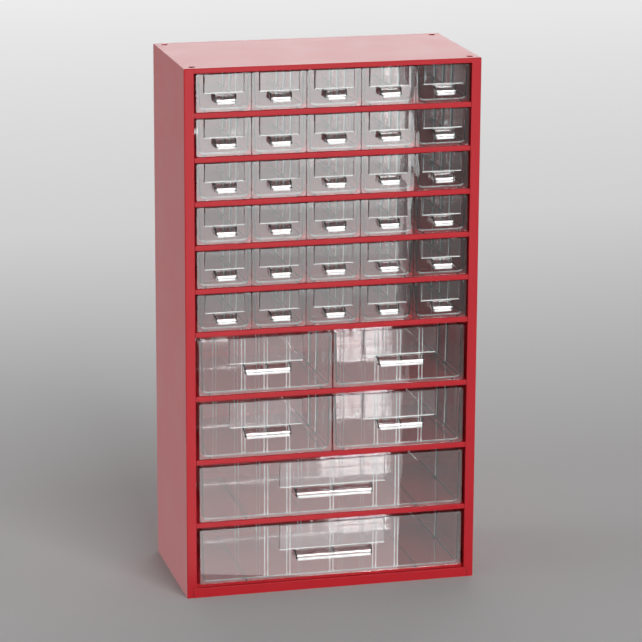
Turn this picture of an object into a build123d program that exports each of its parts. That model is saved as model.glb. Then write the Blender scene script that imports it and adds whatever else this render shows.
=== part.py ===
from build123d import *
import os

# Parts cabinet: a folded sheet-steel casing with nine shelves and 36 clear moulded drawers.
# +Z is up and the drawers open towards -Y. The origin is on the surface that the cabinet stands on,
# in the middle of the whole object, grips included. All sizes are in millimetres.

os.makedirs("parts", exist_ok=True)

# Casing
WIDTH = 306.0
DEPTH = 155.0
HEIGHT = 551.0
SHEET = 0.8  # thickness of every steel sheet
EDGE = 0.7  # how far the folds that show are eased
FLANGE = 10.0  # width of the front flanges down both sides
HEADER = 5.0  # height of the front flange under the top
REAR_FLANGE = 9.0
LIP = 10.0  # height of the bottom pan's front lip
FOOT = 18.0  # width of the feet that are folded in under the casing
LIP_OVERLAP = 3.0  # how far the lip reaches into a notch in each side flange
JOINT_GAP = 0.3  # between two folded pieces that meet but aren't joined there
STACK_X, STACK_Y, STACK_R = 143.0, 68.0, 3.5  # stacking holes near the corners, top and foot
WALL_X, WALL_Z, WALL_R = 110.0, 475.0, 3.0  # two wall screw holes in the back

# Shelves, all alike
SMALL_ROWS, LARGE_ROWS = 6, 4
SMALL_ROW = 44.83  # height of one row of small drawers
LARGE_ROW = 67.25  # height of one row of medium or large drawers
HEM = 5.2  # height of a shelf's folded front edge
HEM_DEPTH = 5.0  # how far the hem and the flanges fold back inside
SHELF_TAB = 8.0  # height of the tabs that are welded to the casing's sides
UPSTAND = 7.0  # a shelf's back edge, turned up to stop the drawers
STOP_GAP = 0.5  # between a closed drawer and that edge
COLUMN = 56.4  # spacing of the five small drawers
BEAD_BASE, BEAD_HEIGHT, BEAD_ANGLE = 4.0, 2.6, 68.0  # raised guides between the columns
BEAD_START, BEAD_LENGTH = 12.0, 120.0

# Drawers
MEDIUM_OFFSET = 70.0  # centre of a medium drawer from the middle of the casing
TRAY_LENGTH = 143.0
WALL = 1.5
PLATE = 2.0  # thickness of the front plate
PLATE_GAP = 0.6  # under the front plate
SLIDE_GAP = 0.15  # under the runners
RUNNER_WIDTH, RUNNER_HEIGHT = 1.2, 2.85
OVERHANG = 1.8  # of the front plate past the tray, on each side
DRAFT = 1.2  # a tray is this much narrower at the floor, on each side
TRAY_CORNER = 4.0
TRAY_DROP = 1.5  # the tray's rim below the plate's top
RIB, RIB_PITCH = 1.0, 3.4  # a slot for a divider is the space between two ribs
STOP_WIDTH = 14.0
STOP_CATCH = 2.0  # how far the stop overlaps the hem that it meets
POCKET_FOOT, POCKET_MOUTH, POCKET_WALL = 2.0, 3.4, 1.0  # label pocket, out from the plate
GRIP_REACH, GRIP_DROP = 12.0, 8.0
GRIP_SHEET, GRIP_WEB, GRIP_BAR = 1.6, 1.4, 3.2
GRIP_CORNER = 3.5
SEAT = 0.5  # how far one moulded feature is sunk into the next

MIDDLE = GRIP_REACH / 2  # the casing's centre in Y
FRONT = MIDDLE - DEPTH / 2
BACK = MIDDLE + DEPTH / 2
INSIDE_X = WIDTH / 2 - SHEET
OPENING_X = WIDTH / 2 - FLANGE
LIP_X = OPENING_X + LIP_OVERLAP
PANEL_FRONT = BACK - 2 * SHEET
PAN_FRONT = FRONT + SHEET + JOINT_GAP
SHELF_FRONT = FRONT + HEM_DEPTH + JOINT_GAP
SHELF_STOP = FRONT + TRAY_LENGTH + STOP_GAP
FLOOR_Z = HEIGHT - SMALL_ROWS * SMALL_ROW - LARGE_ROWS * LARGE_ROW  # the pan's floor
BEADS_X = [COLUMN * (i - 1.5) for i in range(4)]
FLOOR = SLIDE_GAP + RUNNER_HEIGHT  # underside of a tray, above its shelf

def slab(x, y, z, mode=Mode.ADD):
    """A plate or strip between the limits (low, high) given for each axis."""
    with Locations(((x[0] + x[1]) / 2, (y[0] + y[1]) / 2, (z[0] + z[1]) / 2)):
        Box(x[1] - x[0], y[1] - y[0], z[1] - z[0], mode=mode)


def mirrored(low, high):
    """The limits of one strip on the right, and of its mirror image on the left."""
    return [(low, high), (-high, -low)]


def sheet_section(*points):
    """A face one sheet thick, on the left of a bent line."""
    with BuildLine() as fold:
        Polyline(*points)
        offset(amount=SHEET, side=Side.LEFT, kind=Kind.INTERSECTION)
    make_face(fold.edges())


def front_fold(part, height):
    """The edge of a fold across the front, at a given height."""
    edges = part.edges().filter_by(Axis.X).filter_by_position(Axis.Y, FRONT, FRONT)
    return edges.filter_by_position(Axis.Z, height, height)


# ------------------------------------------------ casing: sides, top and front flanges
with BuildPart() as casing_wrap:
    # The outside, with its folds eased, is hollowed out to one sheet
    with BuildSketch(Plane.XZ.offset(-FRONT)):
        with Locations((0, HEIGHT / 2)):
            outside = Rectangle(WIDTH, HEIGHT)
        chamfer(outside.vertices().group_by(Axis.Y)[-1], EDGE)
    extrude(amount=-DEPTH)
    front_edges = casing_wrap.faces().sort_by(Axis.Y)[0].edges()
    chamfer(front_edges.filter_by(lambda edge: edge.center().Z > 0), EDGE)
    with BuildSketch(Plane.XZ.offset(-FRONT - SHEET)):
        with Locations((0, (HEIGHT - SHEET) / 2)):
            Rectangle(2 * INSIDE_X, HEIGHT - SHEET)
    extrude(amount=-DEPTH, mode=Mode.SUBTRACT)
    # The front opening, with a notch in each side flange for the pan's lip
    notch = (-LIP_X - JOINT_GAP, LIP_X + JOINT_GAP)
    slab((-OPENING_X, OPENING_X), (FRONT, FRONT + SHEET), (0, HEIGHT - HEADER), Mode.SUBTRACT)
    slab(notch, (FRONT, FRONT + SHEET), (0, LIP + JOINT_GAP), Mode.SUBTRACT)
    # The flanges' returns at the front, and the flanges that hold the back panel
    header = (HEIGHT - HEADER, HEIGHT - HEADER + SHEET)
    slab((-OPENING_X - SHEET, OPENING_X + SHEET), (FRONT, FRONT + HEM_DEPTH), header)
    for x in mirrored(OPENING_X, OPENING_X + SHEET):
        slab(x, (FRONT, FRONT + HEM_DEPTH), (LIP + JOINT_GAP, HEIGHT - HEADER))
    for x in mirrored(INSIDE_X - REAR_FLANGE, INSIDE_X):
        slab(x, (BACK - SHEET, BACK), (0, HEIGHT - SHEET))
    slab((-INSIDE_X, INSIDE_X), (BACK - SHEET, BACK), (HEIGHT - REAR_FLANGE, HEIGHT - SHEET))
    with Locations((0, MIDDLE, HEIGHT)):
        with GridLocations(2 * STACK_X, 2 * STACK_Y, 2, 2):
            Cylinder(STACK_R, 4 * SHEET, mode=Mode.SUBTRACT)

# ------------------------------------------------ bottom pan: floor, step, front lip and foot
with BuildPart() as bottom_pan:
    with BuildSketch(Plane.YZ.offset(-INSIDE_X)):
        sheet_section(
            (SHELF_STOP, FLOOR_Z + UPSTAND),
            (SHELF_STOP, FLOOR_Z),
            (SHELF_FRONT, FLOOR_Z),
            (SHELF_FRONT, LIP),
            (FRONT, LIP),
            (FRONT, 0),
            (FRONT + FOOT, 0),
        )
    extrude(amount=2 * INSIDE_X)
    fillet(front_fold(bottom_pan, LIP), EDGE)
    for x in mirrored(LIP_X, INSIDE_X):
        slab(x, (FRONT, PAN_FRONT), (0, LIP), Mode.SUBTRACT)
    for x in mirrored(INSIDE_X - SHEET, INSIDE_X):
        slab(x, (SHELF_FRONT, BACK - FOOT), (0, FLOOR_Z - SHEET))
    with Locations((0, MIDDLE - STACK_Y, 0)):
        with GridLocations(2 * STACK_X, 0, 2, 1):
            Cylinder(STACK_R, 4 * SHEET, mode=Mode.SUBTRACT)

# ------------------------------------------------ back panel, with the rear foot folded forward
with BuildPart() as back_panel:
    with BuildSketch(Plane.YZ.offset(-INSIDE_X)):
        sheet_section((BACK - FOOT, 0), (BACK - SHEET, 0), (BACK - SHEET, HEIGHT - SHEET))
    extrude(amount=2 * INSIDE_X)
    with Locations((0, MIDDLE + STACK_Y, 0)):
        with GridLocations(2 * STACK_X, 0, 2, 1):
            Cylinder(STACK_R, 4 * SHEET, mode=Mode.SUBTRACT)
    with BuildSketch(Plane.XZ.offset(-BACK)):
        with Locations((0, WALL_Z)):
            with GridLocations(2 * WALL_X, 0, 2, 1):
                Circle(WALL_R)
    extrude(amount=4 * SHEET, mode=Mode.SUBTRACT)

# ------------------------------------------------ a shelf, with its upper face at height 0
with BuildPart() as shelf:
    with BuildSketch(Plane.YZ.offset(-INSIDE_X)):
        sheet_section(
            (SHELF_STOP, UPSTAND),
            (SHELF_STOP, 0),
            (FRONT, 0),
            (FRONT, -HEM),
            (FRONT + HEM_DEPTH, -HEM),
        )
    extrude(amount=2 * INSIDE_X)
    fillet(front_fold(shelf, 0), EDGE)
    for x in mirrored(OPENING_X - JOINT_GAP, INSIDE_X):
        slab(x, (FRONT, SHELF_FRONT), (-HEM, 0), Mode.SUBTRACT)
    for x in mirrored(INSIDE_X - SHEET, INSIDE_X):
        slab(x, (SHELF_FRONT, SHELF_STOP), (-SHELF_TAB, -SHEET))
    # Raised guides between the columns
    with BuildSketch(Plane.XZ.offset(-FRONT - BEAD_START)):
        for x in BEADS_X:
            with Locations((x, BEAD_HEIGHT / 2)):
                Trapezoid(BEAD_BASE, BEAD_HEIGHT, BEAD_ANGLE)
    extrude(amount=-BEAD_LENGTH)


def grip(width, root, webs):
    """A finger grip: a lip that curls forward and down to a round bar, with a web at each x."""
    tip = (GRIP_BAR / 2 - GRIP_REACH, root - GRIP_DROP)
    curl = ((SEAT, root), (-0.5 * GRIP_REACH, root - 1), (-0.8 * GRIP_REACH, root - 3.6), tip)
    with BuildPart() as body:
        with BuildSketch(Plane.YZ.offset(-width / 2)):
            with BuildLine():
                Polyline(*curl)
                offset(amount=GRIP_SHEET, side=Side.LEFT, kind=Kind.INTERSECTION)
            make_face()
            with Locations(tip):
                RegularPolygon(GRIP_BAR / 2, 6)
        extrude(amount=width)
        for x in webs:
            with BuildSketch(Plane.YZ.offset(x - GRIP_WEB / 2)):
                with BuildLine():
                    Polyline(*curl, (SEAT, root - GRIP_DROP), close=True)
                make_face()
            extrude(amount=GRIP_WEB)
        # The lip's two front corners are cut off, seen from above
        with BuildSketch(Plane.XY.offset(root - 2 * GRIP_DROP)):
            with Locations((0, (SEAT - GRIP_REACH) / 2)):
                plan = Rectangle(width, GRIP_REACH + SEAT)
            chamfer(plan.vertices().group_by(Axis.Y)[0], GRIP_CORNER)
        extrude(amount=3 * GRIP_DROP, mode=Mode.INTERSECT)
    return body.part


def drawer(width, opening, gap, pocket, grip_width, webs, slots_x, slots_y, runner_x, stops_x):
    """A clear moulded drawer. Its plate's front is at y = 0 and its shelf is at z = 0.

    opening is the clear height under the hem above, gap is what the plate leaves of it, and
    pocket is the label pocket's width and depth.
    """
    top = opening - gap
    rim = top - TRAY_DROP
    tray = width / 2 - OVERHANG
    pocket_width, pocket_low = pocket[0], top - pocket[1]
    handle = grip(grip_width, pocket_low, webs)
    with BuildPart() as body:
        # Tray: a drafted channel with its lower corners cut off, and then its inside
        for inset, start, end in ((0, PLATE, TRAY_LENGTH), (WALL, PLATE, TRAY_LENGTH - WALL)):
            with BuildSketch(Plane.XZ.offset(-start)):
                with BuildLine():
                    Polyline(
                        (inset - tray, rim),
                        (inset - tray + DRAFT, FLOOR + inset),
                        (tray - DRAFT - inset, FLOOR + inset),
                        (tray - inset, rim),
                        close=True,
                    )
                channel = make_face()
                chamfer(channel.vertices().group_by(Axis.Y)[0], TRAY_CORNER - inset)
            extrude(amount=start - end, mode=Mode.SUBTRACT if inset else Mode.ADD)
        # Divider slots: pairs of ribs up the side walls, and up the front and back
        for y in slots_y:
            for rib_y in (y - RIB_PITCH / 2, y + RIB_PITCH / 2):
                with BuildSketch(Plane.XZ.offset(-rib_y)):
                    for side in (-1, 1):
                        with BuildLine():
                            Polyline(
                                (side * (tray - DRAFT - WALL - RIB), FLOOR + 1.5 * WALL),
                                (side * (tray - DRAFT - SEAT), FLOOR + TRAY_CORNER),
                                (side * (tray - SEAT), rim),
                                (side * (tray - WALL - RIB), rim),
                                close=True,
                            )
                        make_face()
                extrude(amount=RIB / 2, both=True)
        for x in slots_x:
            for rib_x in (x - RIB_PITCH / 2, x + RIB_PITCH / 2):
                limits = (rib_x - RIB / 2, rib_x + RIB / 2)
                rise = (FLOOR + SEAT, rim)
                slab(limits, (PLATE, PLATE + RIB), rise)
                slab(limits, (TRAY_LENGTH - WALL - RIB, TRAY_LENGTH - SEAT), rise)
        # Front plate
        with BuildSketch(Plane.XZ):
            with Locations((0, (top + PLATE_GAP) / 2)):
                Rectangle(width, top - PLATE_GAP)
        extrude(amount=-PLATE)
        # Runners under the floor, and the stops that rise behind the hem
        for x in mirrored(runner_x - RUNNER_WIDTH / 2, runner_x + RUNNER_WIDTH / 2):
            slab(x, (PLATE, TRAY_LENGTH), (SLIDE_GAP, FLOOR + SEAT))
        for x in stops_x:
            limits = (x - STOP_WIDTH / 2, x + STOP_WIDTH / 2)
            slab(limits, (TRAY_LENGTH - WALL, TRAY_LENGTH), (rim - SEAT, opening + STOP_CATCH))
        # Label pocket: a thin sleeve that leans out and is open at the top
        for wall, mode in ((0, Mode.ADD), (POCKET_WALL, Mode.SUBTRACT)):
            with BuildSketch(Plane.YZ.offset(wall - pocket_width / 2)):
                with BuildLine():
                    Polyline(
                        (0, pocket_low + wall),
                        (wall - POCKET_FOOT, pocket_low + wall),
                        (wall - POCKET_MOUTH, top),
                        (0, top),
                        close=True,
                    )
                make_face()
            extrude(amount=pocket_width - 2 * wall, mode=mode)
        add(handle)
    return body.part


small_opening = SMALL_ROW - HEM
large_opening = LARGE_ROW - HEM
small_drawer = drawer(
    55.8, small_opening, 1.0, (41.0, 19.2), 23.0, (-10.3, 10.3), (), (), 19.0, (0,)
)
medium_drawer = drawer(
    138.6, large_opening, 3.0, (77.0, 27.0), 50.0, (-23.6, 0, 23.6),
    (-23.4, 0, 23.4), (50, 80), 58.0, (-35, 35),
)
large_drawer = drawer(
    278.6, large_opening, 3.0, (112.0, 27.0), 83.0, (-40, 0, 40),
    (-69.5, -46, 0, 46, 69.5), (80,), 90.5, (-70, 70),
)

# ------------------------------------------------ every piece in its place, one file each
pieces = {
    "casing_wrap": casing_wrap.part,
    "bottom_pan": bottom_pan.part,
    "back_panel": back_panel.part,
}
floor_z = HEIGHT
for row in range(SMALL_ROWS + LARGE_ROWS):
    floor_z -= SMALL_ROW if row < SMALL_ROWS else LARGE_ROW
    if row < SMALL_ROWS + LARGE_ROWS - 1:
        pieces[f"shelf_{row + 1}"] = Pos(0, 0, floor_z) * shelf.part
    if row < SMALL_ROWS:
        name, form, places = "small", small_drawer, [COLUMN * (i - 2) for i in range(5)]
    elif row < SMALL_ROWS + LARGE_ROWS // 2:
        name, form, places = "medium", medium_drawer, [-MEDIUM_OFFSET, MEDIUM_OFFSET]
    else:
        name, form, places = "large", large_drawer, [0]
    for column, x in enumerate(places):
        pieces[f"{name}_drawer_r{row + 1}c{column + 1}"] = Pos(x, FRONT, floor_z) * form

for label, piece in pieces.items():
    piece.label = label
    export_step(piece, f"parts/{label}.step")
print(len(pieces), "pieces")
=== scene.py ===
import math

import bmesh
import bpy
from mathutils import Matrix, Vector


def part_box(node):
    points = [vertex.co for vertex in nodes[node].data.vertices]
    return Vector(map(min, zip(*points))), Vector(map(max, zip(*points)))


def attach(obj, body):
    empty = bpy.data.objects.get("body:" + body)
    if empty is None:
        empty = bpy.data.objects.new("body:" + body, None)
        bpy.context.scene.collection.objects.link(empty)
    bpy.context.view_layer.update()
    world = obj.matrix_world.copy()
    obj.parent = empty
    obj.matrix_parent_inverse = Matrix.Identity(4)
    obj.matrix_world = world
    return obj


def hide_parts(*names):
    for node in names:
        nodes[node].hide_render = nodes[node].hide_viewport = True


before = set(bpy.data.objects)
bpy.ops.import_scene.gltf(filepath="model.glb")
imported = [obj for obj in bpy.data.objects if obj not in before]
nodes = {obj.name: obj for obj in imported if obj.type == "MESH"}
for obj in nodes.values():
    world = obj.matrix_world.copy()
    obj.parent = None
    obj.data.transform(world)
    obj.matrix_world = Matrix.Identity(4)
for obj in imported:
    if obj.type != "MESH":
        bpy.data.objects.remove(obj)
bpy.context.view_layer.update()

# The frame is in metres, with +Z up and the drawers opening towards -Y. The drawers' plates stand
# flush with the casing's front edge, at this Y.
FRONT = -0.0715


# ---------------------------------------------------------------- camera
def make_camera():
    """A long lens, left of the middle and a little above the cabinet, as the photograph was taken."""
    yaw, pitch, roll = math.radians(14.22), math.radians(14.71), math.radians(0.26)
    forward = Vector((math.sin(yaw) * math.cos(pitch), math.cos(yaw) * math.cos(pitch), -math.sin(pitch)))
    level = Vector((math.cos(yaw), -math.sin(yaw), 0))
    up = level.cross(forward)
    right = level * math.cos(roll) + up * math.sin(roll)
    up = up * math.cos(roll) - level * math.sin(roll)
    data = bpy.data.cameras.new("camera")
    data.sensor_width = 36
    data.lens = 172.1
    data.clip_start, data.clip_end = 0.1, 60
    camera = bpy.data.objects.new("camera", data)
    turn = Matrix((right, up, -forward)).transposed().to_4x4()
    camera.matrix_world = Matrix.Translation((-0.753, -2.993, 1.078)) @ turn
    bpy.context.scene.collection.objects.link(camera)
    bpy.context.scene.camera = camera


# ---------------------------------------------------------------- node helpers
def new_material(name):
    """An empty material, a function that adds a node with its values set, and one that links."""
    material = bpy.data.materials.new(name)
    material.use_nodes = True
    tree = material.node_tree
    tree.nodes.clear()

    def add(kind, **values):
        node = tree.nodes.new("ShaderNode" + kind)
        for key, value in values.items():
            if key in node.inputs:
                node.inputs[key].default_value = value
            else:
                setattr(node, key, value)
        return node

    return material, add, tree.links.new


def noise(add, link, place, scale, detail=2.0, stretch=None):
    """Noise on the object's own coordinates, stretched along an axis where asked."""
    node = add("TexNoise", Scale=scale, Detail=detail)
    source = place.outputs["Object"]
    if stretch:
        mapping = add("Mapping", Scale=stretch)
        link(source, mapping.inputs["Vector"])
        source = mapping.outputs["Vector"]
    link(source, node.inputs["Vector"])
    return node.outputs["Fac"]


def ramp(add, link, source, low, high, start=0.3, end=0.7):
    """A number that goes from low to high as its source goes from start to end."""
    node = add("MapRange", **{"From Min": start, "From Max": end, "To Min": low, "To Max": high})
    link(source, node.inputs["Value"])
    return node.outputs["Result"]


def tones(add, link, source, first, second):
    """A colour between two, by a number."""
    node = add("Mix", data_type="RGBA")
    node.inputs["A"].default_value = (*first, 1)
    node.inputs["B"].default_value = (*second, 1)
    link(source, node.inputs["Factor"])
    return node.outputs["Result"]


def let_past(add, link, shader, rays, tint=1.0):
    """Finishes a clear material: it is plainly transparent to the kinds of ray that light what is inside."""
    path = add("LightPath")
    passing = path.outputs[rays[0]]
    for kind in rays[1:]:
        either = add("Math", operation="MAXIMUM")
        link(passing, either.inputs[0])
        link(path.outputs[kind], either.inputs[1])
        passing = either.outputs[0]
    clear = add("BsdfTransparent", Color=(tint, tint, tint, 1))
    mix = add("MixShader")
    link(passing, mix.inputs[0])
    link(shader, mix.inputs[1])
    link(clear.outputs["BSDF"], mix.inputs[2])
    link(mix.outputs["Shader"], add("OutputMaterial").inputs["Surface"])


# ---------------------------------------------------------------- materials
def red_enamel():
    """Stove enamel on steel: a deep red with a fine texture, softly rounded folds and an even sheen."""
    material, add, link = new_material("red enamel")
    place = add("TexCoord")
    cloud = noise(add, link, place, 22.0, 3.0)
    skin = noise(add, link, place, 1500.0, 1.0)
    bump = add("Bump", Strength=0.10, Distance=0.0002)
    link(skin, bump.inputs["Height"])
    folds = add("Bevel", samples=6, Radius=0.0007)
    link(folds.outputs["Normal"], bump.inputs["Normal"])
    shader = add("BsdfPrincipled", IOR=1.33)
    colour = tones(add, link, cloud, (0.47, 0.008, 0.016), (0.53, 0.013, 0.023))
    link(colour, shader.inputs["Base Color"])
    link(ramp(add, link, cloud, 0.375, 0.405), shader.inputs["Roughness"])
    link(bump.outputs["Normal"], shader.inputs["Normal"])
    link(shader.outputs["BSDF"], add("OutputMaterial").inputs["Surface"])
    return material


def clear_styrene():
    """Clear moulded plastic, with faint flow waves and a trace of haze under a glossy skin."""
    material, add, link = new_material("clear styrene")
    place = add("TexCoord")
    flow = noise(add, link, place, 35.0, 2.0, (1.0, 1.0, 0.35))
    haze = noise(add, link, place, 90.0, 4.0)
    bump = add("Bump", Strength=0.12, Distance=0.0015)
    link(flow, bump.inputs["Height"])
    shader = add("BsdfPrincipled", **{
        "Base Color": (0.965, 0.96, 0.96, 1), "IOR": 1.6, "Transmission Weight": 1.0,
        "Coat Weight": 0.7, "Coat Roughness": 0.03,
    })
    link(ramp(add, link, haze, 0.004, 0.016), shader.inputs["Roughness"])
    link(bump.outputs["Normal"], shader.inputs["Normal"])
    let_past(add, link, shader.outputs["BSDF"], ("Is Shadow Ray", "Is Diffuse Ray"), 0.95)
    return material


def painted_highlight_edges():
    """Eased edges of the mouldings with a painted highlight: a pale, diffuse white mixed into clear glass
    stands for the bright lines where light that runs inside the plastic comes out. The glass part still
    catches the lamps.
    """
    material, add, link = new_material("styrene edges, painted highlight")
    place = add("TexCoord")
    patch = noise(add, link, place, 60.0, 3.0)
    # The pale diffuse white is the painted highlight; the glass mixed with it is real
    pale = add("BsdfPrincipled", IOR=1.58, Roughness=0.25)
    link(tones(add, link, patch, (0.86, 0.86, 0.86), (0.97, 0.97, 0.97)), pale.inputs["Base Color"])
    glass = add("BsdfPrincipled", **{
        "Base Color": (0.97, 0.97, 0.97, 1), "IOR": 1.58, "Roughness": 0.08, "Transmission Weight": 1.0,
    })
    mix = add("MixShader")
    link(ramp(add, link, patch, 0.35, 0.75), mix.inputs[0])
    link(glass.outputs["BSDF"], mix.inputs[1])
    link(pale.outputs["BSDF"], mix.inputs[2])
    let_past(add, link, mix.outputs["Shader"], ("Is Shadow Ray",))
    return material


def painted_shade_edges():
    """Eased edges of the mouldings in painted shade: a near-black tinted glass stands for the dark line of an
    edge that shows only the dark inside of the cabinet.
    """
    material, add, link = new_material("styrene edges, painted shade")
    place = add("TexCoord")
    patch = noise(add, link, place, 80.0, 2.0)
    shader = add("BsdfPrincipled", **{"IOR": 1.58, "Roughness": 0.12, "Transmission Weight": 0.8})
    # The near-black tint is the painted shade
    link(tones(add, link, patch, (0.03, 0.025, 0.025), (0.11, 0.10, 0.10)), shader.inputs["Base Color"])
    let_past(add, link, shader.outputs["BSDF"], ("Is Shadow Ray",))
    return material


def studio_grey():
    """The pale floor: it takes the cabinet's shadow near it, and shines evenly further back."""
    material, add, link = new_material("studio floor")
    place = add("TexCoord")
    split = add("SeparateXYZ")
    link(place.outputs["Object"], split.inputs["Vector"])
    place_y = split.outputs["Y"]

    def grey(low, high, start, end):
        """A grey that runs from one value to another between two places along Y."""
        value = ramp(add, link, place_y, low, high, start, end)
        colour = add("CombineColor")
        for channel in ("Red", "Green", "Blue"):
            link(value, colour.inputs[channel])
        return colour.outputs["Color"]

    shade = grey(0.46, 0.88, -0.3, 4.4)
    dull = add("BsdfDiffuse")
    link(shade, dull.inputs["Color"])
    glow = add("Emission")
    link(shade, glow.inputs["Color"])
    path = add("LightPath")
    far = add("Math", operation="MULTIPLY")
    link(path.outputs["Is Camera Ray"], far.inputs[0])
    link(ramp(add, link, place_y, 0.0, 1.0, 0.3, 1.6), far.inputs[1])
    seen = add("MixShader")
    link(far.outputs[0], seen.inputs[0])
    link(dull.outputs["BSDF"], seen.inputs[1])
    link(glow.outputs["Emission"], seen.inputs[2])
    # What gloss shows of the floor is paler: dim far out in front, and white at the back
    mirrored = add("Emission")
    link(grey(0.30, 1.0, -1.0, -0.1), mirrored.inputs["Color"])
    mix = add("MixShader")
    link(path.outputs["Is Glossy Ray"], mix.inputs[0])
    link(seen.outputs["Shader"], mix.inputs[1])
    link(mirrored.outputs["Emission"], mix.inputs[2])
    link(mix.outputs["Shader"], add("OutputMaterial").inputs["Surface"])
    return material


# ---------------------------------------------------------------- studio
def move_new(bm, made, vec):
    """Moves what an extrusion has just made."""
    fresh = [v for v in made["geom"] if isinstance(v, bmesh.types.BMVert)]
    bmesh.ops.translate(bm, verts=fresh, vec=vec)


def make_floor():
    """A floor that curves up into a backdrop."""
    bm = bmesh.new()
    start = [bm.verts.new((-6, y, 0)) for y in (-7, 4)]
    bm.edges.new(start)
    turned = bmesh.ops.spin(
        bm, geom=[start[1]], cent=(0, 4, 2.5), axis=(1, 0, 0), angle=math.radians(90), steps=24
    )
    end = bm.verts.new((-6, 6.5, 9))
    bm.edges.new((turned["geom_last"][0], end))
    wide = bmesh.ops.extrude_edge_only(bm, edges=bm.edges[:])
    move_new(bm, wide, (12, 0, 0))
    bmesh.ops.recalc_face_normals(bm, faces=bm.faces[:])
    mesh = bpy.data.meshes.new("studio floor")
    bm.to_mesh(mesh)
    bm.free()
    for face in mesh.polygons:
        face.use_smooth = True
    floor = bpy.data.objects.new("studio_floor", mesh)
    bpy.context.scene.collection.objects.link(floor)
    mesh.materials.append(studio_grey())


def lamp(name, place, target, size, radiance):
    """A rectangular area lamp at a place, turned to a target."""
    data = bpy.data.lights.new(name, "AREA")
    data.shape = "RECTANGLE"
    data.size, data.size_y = size
    data.energy = radiance * math.pi * size[0] * size[1]
    light = bpy.data.objects.new(name, data)
    away = Vector(place) - Vector(target)
    light.matrix_world = Matrix.Translation(place) @ away.to_track_quat("Z", "Y").to_matrix().to_4x4()
    bpy.context.scene.collection.objects.link(light)
    return light


def make_lamps():
    """Softboxes behind, beside and in front, with what the gloss and the plastic show of them."""
    low = (0, 0, 0.3)
    back = lamp("back softbox", (0.75, 3.1, 1.6), (0, 0, 0.5), (3.4, 1.5), 2.5)
    back.visible_camera = False
    lamp("side softbox", (-2.8, 0.4, 1.3), low, (1.6, 1.6), 2.0)
    front = lamp("front softbox", (0.7, -3.4, 1.75), low, (2.2, 1.6), 8.6)
    front.visible_transmission = False
    # Two lamps that show only through the plastic: a wide one above, which draws its edges, and a strip
    # beside the camera, which the drawers' back corners throw back as white patches
    high = lamp("high softbox", (0.7, -3.4, 2.02), low, (2.2, 1.25), 9.0)
    strip = lamp("strip lamp", (1.02, -3.4, 1.24), low, (0.22, 0.5), 13.0)
    for light in (high, strip):
        light.visible_diffuse = light.visible_glossy = light.visible_camera = False


def make_floor_cards():
    """White cards on the floor in front, brighter the further out, which only the object's gloss shows."""
    bounds = (0.06, 0.96, 1.25, 1.51, 1.81, 2.15, 3.75)  # where one card ends and the next one starts
    radiances = (1.7, 2.0, 2.6, 3.3, 4.1, 4.8)
    width, height = 1.1, 0.01
    turn, cosine, sine = math.radians(16.2), 0.960, 0.279  # from -Y to the row of cards
    for start, end, radiance in zip(bounds, bounds[1:], radiances):
        away = (start + end) / 2
        x = 0.05 + sine * away - cosine * width / 2
        y = -cosine * away - sine * width / 2
        card = lamp("floor card", (x, y, height), (x, y, 1), (width, end - start), radiance)
        face_up = Matrix.Rotation(turn, 4, "Z") @ Matrix.Rotation(math.pi, 4, "X")
        card.matrix_world = Matrix.Translation((x, y, height)) @ face_up
        card.visible_diffuse = card.visible_camera = card.visible_transmission = False


def make_world():
    world = bpy.data.worlds.new("studio")
    world.use_nodes = True
    background = world.node_tree.nodes["Background"]
    background.inputs["Color"].default_value = (1, 1, 1, 1)
    background.inputs["Strength"].default_value = 0.24
    bpy.context.scene.world = world


# ---------------------------------------------------------------- shaping helpers
# The functions below take millimetres and make metres. Every moulding is made with its plate's front
# at y = 0 and its shelf at z = 0.
MM = 0.001
PAINTED_HIGHLIGHT, PAINTED_SHADE = 1, 2  # material slots of the eased edges, after the clear wall's slot 0: the painted highlight and the painted shade


def block(low, high):
    """A box between two corners."""
    bm = bmesh.new()
    middle = [(a + b) / 2 * MM for a, b in zip(low, high)]
    size = [(b - a) * MM for a, b in zip(low, high)]
    bmesh.ops.create_cube(bm, size=1, matrix=Matrix.Translation(middle) @ Matrix.Diagonal((*size, 1)))
    return bm


def bevel(bm, edges, radius, steps, material=-1):
    """Rounds the given edges."""
    bmesh.ops.bevel(
        bm, geom=edges, offset=radius * MM, offset_type="OFFSET", segments=steps, profile=0.5,
        affect="EDGES", clamp_overlap=True, material=material,
    )


def ease(bm, radius, steps=2, sharp=35.0, upright=PAINTED_SHADE):
    """Rounds each edge sharper than the angle and paints the rounds: edges along X take the painted
    highlight, and the others the upright paint, the painted shade unless another is given.
    """
    bm.normal_update()
    edges = [e for e in bm.edges if e.calc_face_angle(0) > math.radians(sharp)]
    bevel(bm, edges, radius, steps, PAINTED_HIGHLIGHT)
    bm.normal_update()
    for face in bm.faces:
        if face.material_index == PAINTED_HIGHLIGHT:
            longest = max(face.edges, key=lambda e: e.calc_length())
            line = (longest.verts[1].co - longest.verts[0].co).normalized()
            face.material_index = PAINTED_HIGHLIGHT if abs(line.x) > 0.7 else upright
    return bm


def along(edge, axis):
    """True where an edge runs along an axis."""
    line = edge.verts[1].co - edge.verts[0].co
    return abs(line[axis]) > 0.97 * line.length


def all_at(edge, axis, above=None, below=None):
    """True where all of an edge lies above or below a place on an axis."""
    places = [vert.co[axis] / MM for vert in edge.verts]
    return (above is None or min(places) > above) and (below is None or max(places) < below)


def thicken(bm, wall):
    """Gives an open skin its wall."""
    bmesh.ops.recalc_face_normals(bm, faces=bm.faces[:])
    bmesh.ops.solidify(bm, geom=bm.faces[:], thickness=wall * MM)
    bmesh.ops.recalc_face_normals(bm, faces=bm.faces[:])


def drop_faces(bm, *directions):
    """Takes away the faces that look in one of the directions."""
    bm.normal_update()
    gone = [f for f in bm.faces if any(f.normal.dot(Vector(d)) > 0.95 for d in directions)]
    bmesh.ops.delete(bm, geom=gone, context="FACES")


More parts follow.
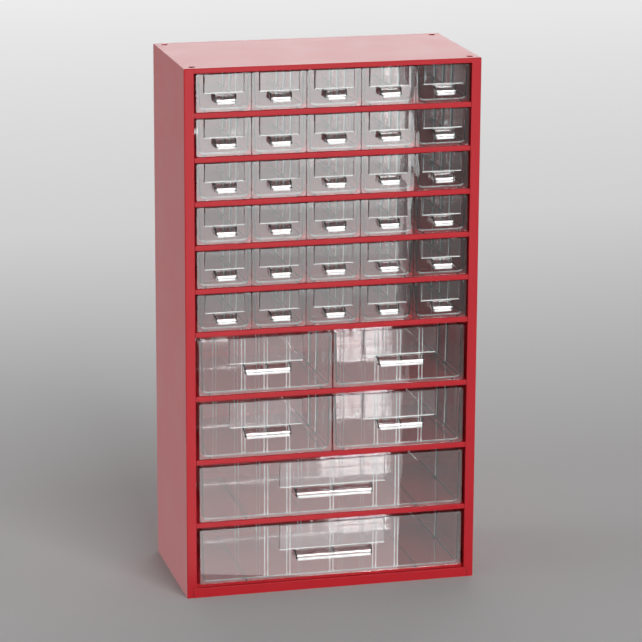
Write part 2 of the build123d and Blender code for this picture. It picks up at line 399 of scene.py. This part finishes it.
# ---------------------------------------------------------------- the clear mouldings
TRAY_END = 143.0  # how far a tray reaches back from the plate's front
TRAY_FLOOR = 3.0  # the underside of a tray's floor
TRAY_SIDE = 1.8  # how far a tray's side stands in from the plate's edge
TRAY_RIM = 1.5  # how far a tray's rim stays below the plate's top
PLATE = 2.0  # the thickness of a front plate
WALL = 1.5  # the thickness of a tray and of a grip's lip
SUNK = 1.8  # where a form behind the plate starts, a little inside it
SLOT = 1.7  # from the middle of a divider's slot to the middle of the rib on each side of it
RIB_FACE, RIB_ROOT = 2.5, 1.3  # a rib's two sides, measured from the outside of the tray's wall
KINDS = {
    "small": {
        "width": 55.8, "opening": 39.63, "top": 38.63, "pocket": (41.0, 19.2), "grip": 23.0,
        "webs": (-10.3, 10.3), "ribs_x": (), "ribs_y": (50, 80, 110), "runner": 19.0, "stops": (0,),
    },
    "medium": {
        "width": 138.6, "opening": 62.05, "top": 59.05, "pocket": (77.0, 27.0), "grip": 50.0,
        "webs": (-23.6, 0, 23.6), "ribs_x": (-23.4, 0, 23.4), "ribs_y": (50, 80), "runner": 58.0,
        "stops": (-35, 35),
    },
    "large": {
        "width": 278.6, "opening": 62.05, "top": 59.05, "pocket": (112.0, 27.0), "grip": 83.0,
        "webs": (-40, 0, 40), "ribs_x": (-69.5, -46, 0, 46, 69.5), "ribs_y": (80,), "runner": 90.5,
        "stops": (-70, 70),
    },
}


def plate(width, top):
    """The front plate, with round corners and a rounder foot. The eased edges of its foot and its right edge
    carry painted shade, and its other eased edges a painted highlight.
    """
    bm = block((-width / 2, 0, 0.8), (width / 2, PLATE, top))
    bevel(bm, [e for e in bm.edges if along(e, 1)], 1.6, 4)
    foot = [e for e in bm.edges if along(e, 0) and all_at(e, 1, below=1) and all_at(e, 2, below=1)]
    bevel(bm, foot, 1.5, 4)
    ease(bm, 0.55, 3)
    for face in bm.faces:
        if face.material_index:
            middle = face.calc_center_median() / MM
            face.material_index = PAINTED_SHADE if middle.z < 2 or middle.x > width / 2 - 2 else PAINTED_HIGHLIGHT
    return bm


def tray(width, top):
    """The channel behind the plate, drafted, round along its lower corners and at its back."""
    half = width / 2 - TRAY_SIDE
    bm = block((-half, SUNK, TRAY_FLOOR), (half, TRAY_END, top - TRAY_RIM))
    for vert in bm.verts:
        if vert.co.z < 4 * MM:
            vert.co.x *= (half - 1.2) / half
    bevel(bm, [e for e in bm.edges if along(e, 1) and all_at(e, 2, below=4)], 5.5, 5)
    # The round lower corners take the painted shade, a dark line along each
    bm.normal_update()
    for face in bm.faces:
        if 0.6 < abs(face.normal.x) < 0.8 and face.normal.z < 0:
            face.material_index = PAINTED_SHADE
    rear = [e for e in bm.edges if all_at(e, 1, above=TRAY_END - 1) and not all_at(e, 2, above=top - 2)]
    bevel(bm, rear, 1.6, 3)
    drop_faces(bm, (0, 0, 1), (0, -1, 0))
    thicken(bm, WALL)
    return ease(bm, 0.5, 2, 60)


def pocket(width, low, top):
    """The label pocket: a thin sleeve that leans out from the plate, open at the top, with a painted
    highlight along its foot.
    """
    bm = block((-width / 2, -2.0, low), (width / 2, 0.2, top))
    for vert in bm.verts:
        if vert.co.z > (top - 1) * MM and vert.co.y < 0:
            vert.co.y = -2.4 * MM
    outer = [e for e in bm.edges if all_at(e, 1, below=-1.9) and not all_at(e, 2, above=top - 1)]
    bevel(bm, outer, 0.9, 3)
    drop_faces(bm, (0, 0, 1), (0, 1, 0))
    thicken(bm, 0.9)
    ease(bm, 0.4, 2, 60)
    # Painted highlight along the foot
    for face in bm.faces:
        if face.calc_center_median().z < (low + 1) * MM:
            face.material_index = PAINTED_HIGHLIGHT
    return bm


def grip_lip(width, root):
    """The curled lip of the finger grip, narrower towards its tip."""
    bm = bmesh.new()
    curl = ((0.3, 0), (-3.5, -0.3), (-6.4, -1.15), (-8.6, -2.7), (-9.9, -5.1), (-10.4, -8.0))
    chain = [bm.verts.new((-width / 2 * MM, y * MM, (root + z) * MM)) for y, z in curl]
    for first, second in zip(chain, chain[1:]):
        bm.edges.new((first, second))
    made = bmesh.ops.extrude_edge_only(bm, edges=bm.edges[:])
    move_new(bm, made, (width * MM, 0, 0))
    for vert in bm.verts:
        cut = max(0.0, -8.2 * MM - vert.co.y)
        vert.co.x -= math.copysign(cut, vert.co.x)
    bmesh.ops.recalc_face_normals(bm, faces=bm.faces[:])
    if sum(f.normal.z for f in bm.faces) < 0:
        bmesh.ops.reverse_faces(bm, faces=bm.faces[:])
    bmesh.ops.solidify(bm, geom=bm.faces[:], thickness=WALL * MM)
    bmesh.ops.recalc_face_normals(bm, faces=bm.faces[:])
    return ease(bm, 0.4, 2, 60)


def grip_bar(width, root):
    """The round bar along the lip's tip, in painted highlight, with painted shade on the rounds of its ends.
    """
    bm = bmesh.new()
    where = Matrix.Translation((0, -10.3 * MM, (root - 8.0) * MM)) @ Matrix.Rotation(math.radians(90), 4, "Y")
    bmesh.ops.create_cone(
        bm, cap_ends=True, segments=16, radius1=1.6 * MM, radius2=1.6 * MM,
        depth=(width - 4.4) * MM, matrix=where,
    )
    bevel(bm, [e for e in bm.edges if e.calc_face_angle(0) > 1.2], 0.5, 2, PAINTED_SHADE)
    for face in bm.faces:
        if face.material_index != PAINTED_SHADE:
            face.material_index = PAINTED_HIGHLIGHT
    return bm


def grip_web(x, root):
    """One upright web between the lip and the plate."""
    bm = bmesh.new()
    outline = ((0.3, -0.4), (-6.2, -1.5), (-9.2, -3.8), (-10.3, -8.2), (0.3, -8.2))
    side = bm.faces.new([bm.verts.new(((x - 0.7) * MM, y * MM, (root + z) * MM)) for y, z in outline])
    made = bmesh.ops.extrude_face_region(bm, geom=[side])
    move_new(bm, made, (1.4 * MM, 0, 0))
    bmesh.ops.recalc_face_normals(bm, faces=bm.faces[:])
    return ease(bm, 0.5, 2)


def rib(low, high, light_paint=None, lean=0.0):
    """One upright divider rib, with a painted highlight on its round edges, or wholly in the painted
    highlight or painted shade that is given.

    lean moves its foot in, as the tray's draft does.
    """
    bm = block(low, high)
    for vert in bm.verts:
        if vert.co.z < (low[2] + 1) * MM:
            vert.co.x += lean * MM
    ease(bm, 0.35, 3, upright=PAINTED_HIGHLIGHT)
    if light_paint is not None:
        for face in bm.faces:
            face.material_index = light_paint
    return bm


def side_ribs(half, y, rim, light_paint):
    """A rib and its foot on each side wall, at one depth: the ribs wholly in the painted highlight or painted
    shade that is given, the feet wholly in painted shade.
    """
    return [
        rib((half - RIB_FACE, y - 0.5, 5.2), (half - RIB_ROOT, y + 0.5, rim), light_paint, -1.1),
        rib((RIB_ROOT - half, y - 0.5, 5.2), (RIB_FACE - half, y + 0.5, rim), light_paint, 1.1),
        rib((half - 6.0, y - 0.8, 4.3), (half - 2.4, y + 0.8, 6.6), PAINTED_SHADE),
        rib((2.4 - half, y - 0.8, 4.3), (6.0 - half, y + 0.8, 6.6), PAINTED_SHADE),
    ]


def end_ribs(x, rim):
    """A rib on the plate, one on the back wall, and the foot of the first, each with a painted highlight on
    its round edges.
    """
    return [
        rib((x - 0.5, SUNK, 3.5), (x + 0.5, 3.0, rim)),
        rib((x - 0.5, TRAY_END - RIB_FACE, 3.5), (x + 0.5, TRAY_END - RIB_ROOT, rim)),
        rib((x - 0.8, SUNK, 4.2), (x + 0.8, 4.2, 6.0)),
    ]


def moulding(form):
    """A whole drawer of one kind: every feature is a closed form sunk a little into the next."""
    width, top, (pocket_width, pocket_depth) = form["width"], form["top"], form["pocket"]
    rim, root, half = top - TRAY_RIM, top - pocket_depth, width / 2 - TRAY_SIDE
    parts = [plate(width, top), tray(width, top), pocket(pocket_width, root, top)]
    parts += [grip_lip(form["grip"], root), grip_bar(form["grip"], root)]
    parts += [grip_web(x, root) for x in form["webs"]]
    for depth in form["ribs_y"]:
        # On each side wall the front rib of a slot's pair is wholly painted shade, and the back one wholly
        # painted highlight
        parts += side_ribs(half, depth - SLOT, rim, PAINTED_SHADE) + side_ribs(half, depth + SLOT, rim, PAINTED_HIGHLIGHT)
    for middle in form["ribs_x"]:
        parts += end_ribs(middle - SLOT, rim) + end_ribs(middle + SLOT, rim)
    for x in (-form["runner"], form["runner"]):
        parts.append(ease(block((x - 0.75, PLATE, 0.15), (x + 0.75, TRAY_END, 3.3)), 0.3))
    for x in form["stops"]:
        low, high = (x - 7, TRAY_END - WALL, rim - 0.5), (x + 7, TRAY_END, form["opening"] + 2.0)
        parts.append(ease(block(low, high), 0.3))
    whole = bmesh.new()
    for part in parts:
        mesh = bpy.data.meshes.new("part")
        part.to_mesh(mesh)
        whole.from_mesh(mesh)
        part.free()
        bpy.data.meshes.remove(mesh)
    for face in whole.faces:
        face.smooth = True
    return whole


# ---------------------------------------------------------------- the pieces in their places
def put(name, mesh, body, slot, materials, *stands_for):
    """A finished piece at the origin, its place in its mesh, riding on a CAD body."""
    piece = bpy.data.objects.new(name, mesh)
    bpy.context.scene.collection.objects.link(piece)
    for material in materials:
        mesh.materials.append(material)
    even = piece.modifiers.new("even shading", "WEIGHTED_NORMAL")
    even.keep_sharp = True
    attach(piece, body)
    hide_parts(*stands_for)


def make_drawers(*materials):
    """One moulding of each kind, set in every place of its kind."""
    for kind, form in KINDS.items():
        whole = moulding(form)
        for name in [n for n in nodes if n.startswith(kind)]:
            low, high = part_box(name)
            mesh = bpy.data.meshes.new(name)
            whole.to_mesh(mesh)
            mesh.transform(Matrix.Translation(((low[0] + high[0]) / 2, FRONT, low[2] - 0.15 * MM)))
            put(name.replace("drawer", "moulding"), mesh, name, "drawer_clear", materials, name)
        whole.free()


def finish_casing(red):
    """The casing's sheets keep their CAD shapes, and take the enamel."""
    for name, node in nodes.items():
        if "drawer" not in name:
            node.data.materials.clear()
            node.data.materials.append(red)


make_camera()
make_floor()
make_lamps()
make_floor_cards()
make_world()
# The clear wall, then the edges with a painted highlight, then the edges in painted shade
make_drawers(clear_styrene(), painted_highlight_edges(), painted_shade_edges())
finish_casing(red_enamel())
scene = bpy.context.scene
scene.view_settings.view_transform = "Standard"
scene.cycles.max_bounces = 20
scene.cycles.transmission_bounces = 20
scene.cycles.transparent_max_bounces = 24
